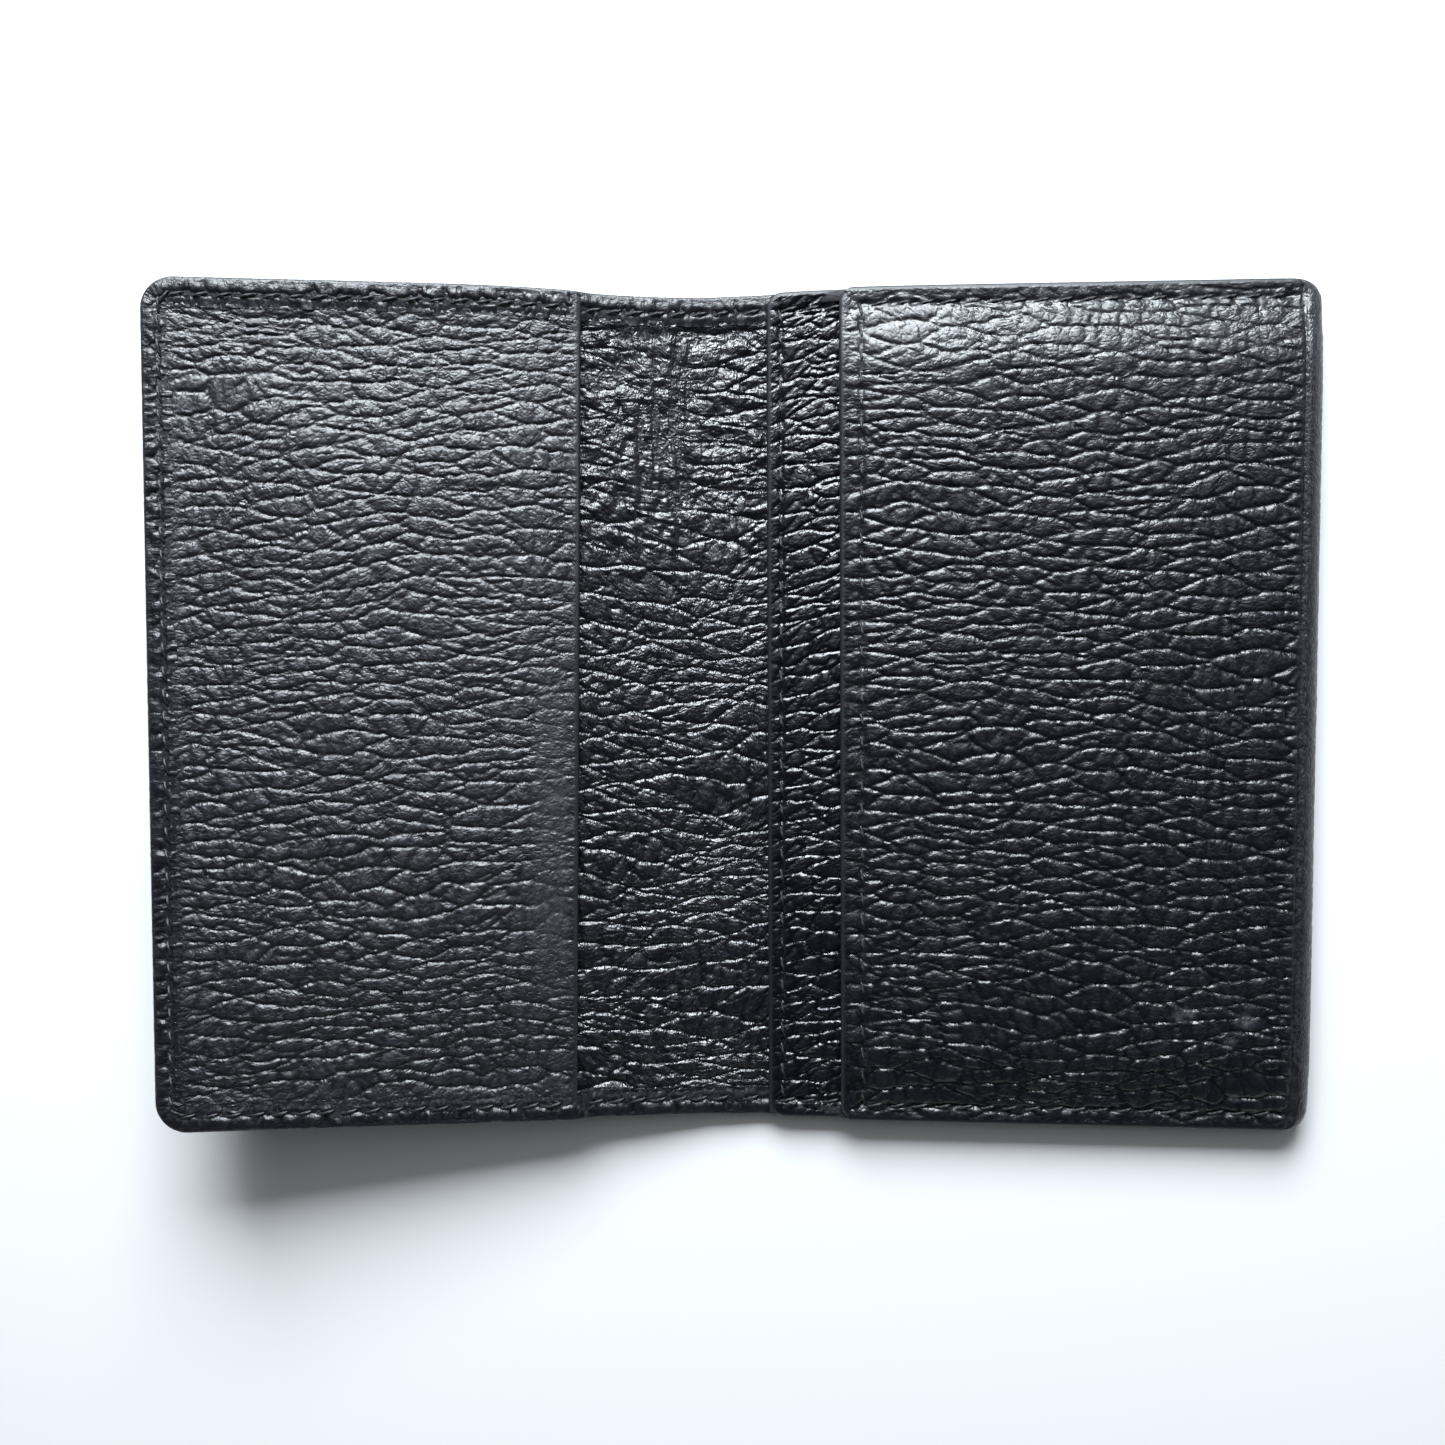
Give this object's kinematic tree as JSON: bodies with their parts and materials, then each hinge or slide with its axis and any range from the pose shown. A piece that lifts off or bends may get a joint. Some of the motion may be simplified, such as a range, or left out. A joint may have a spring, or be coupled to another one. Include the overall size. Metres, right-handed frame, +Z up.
{
  "type": "bifold card holder",
  "caption": "Grained black leather bifold card holder with stitched pockets on both covers and a folding spine.",
  "frame": {"origin": "on the surface that the holder lies on, at the middle of its footprint as it lies open", "axes": "+X across the open holder towards the right cover's folded edge, +Y along the spine, +Z up out of the pockets"},
  "size_m": [0.1502, 0.11, 0.0172],
  "materials": {
    "outer_leather": "pebbled grain, semi-gloss, worn smoother on its edges",
    "inner_leather": "pebbled grain, satin",
    "pocket_textile": "plain woven lining, matte",
    "board": "bonded leather board, matte",
    "thread": "waxed black thread, satin"
  },
  "bodies": {
    "right_cover": {"outer_cover_right": "outer_leather", "edge_fold_right": "outer_leather", "cover_board_right": "board", "lining_right": "inner_leather", "rear_pocket_seam": "pocket_textile", "slot_backing": "pocket_textile", "slot_strip": "inner_leather", "front_slot_seam": "pocket_textile", "front_pocket_lining": "pocket_textile", "front_pocket_panel": "outer_leather", "slot_mouth_thread": "thread", "front_mouth_thread": "thread", "seam_thread_right_top": "thread", "seam_thread_right_bottom": "thread"},
    "spine": {"outer_cover_spine": "outer_leather", "spine_tape": "pocket_textile", "lining_spine": "inner_leather", "hem_spine_top": "outer_leather", "hem_spine_bottom": "outer_leather", "seam_thread_spine_top": "thread", "seam_thread_spine_bottom": "thread"},
    "left_cover": {"outer_cover_left": "outer_leather", "cover_board_left": "board", "lining_left": "inner_leather", "left_pocket_seam": "pocket_textile", "left_pocket_lining": "pocket_textile", "left_pocket_panel": "inner_leather", "turned_edge_left": "outer_leather", "seam_thread_left": "thread", "hem_bridge_top": "outer_leather", "hem_bridge_bottom": "outer_leather", "seam_thread_bridge_top": "thread", "seam_thread_bridge_bottom": "thread"}
  },
  "joints": [
    {"name": "fold_right", "type": "hinge", "parent": "right_cover", "child": "spine", "pos_m": [0.00309, 0, 0.00175], "axis": [0, 1, 0], "range_deg": [-5, 85]},
    {"name": "fold_left", "type": "hinge", "parent": "spine", "child": "left_cover", "pos_m": [-0.00388, 0, 0.00236], "axis": [0, 1, 0], "range_deg": [-5, 85]}
  ],
  "couplings": [
    {"joint": "fold_left", "follows": "fold_right", "ratio": 1}
  ]
}
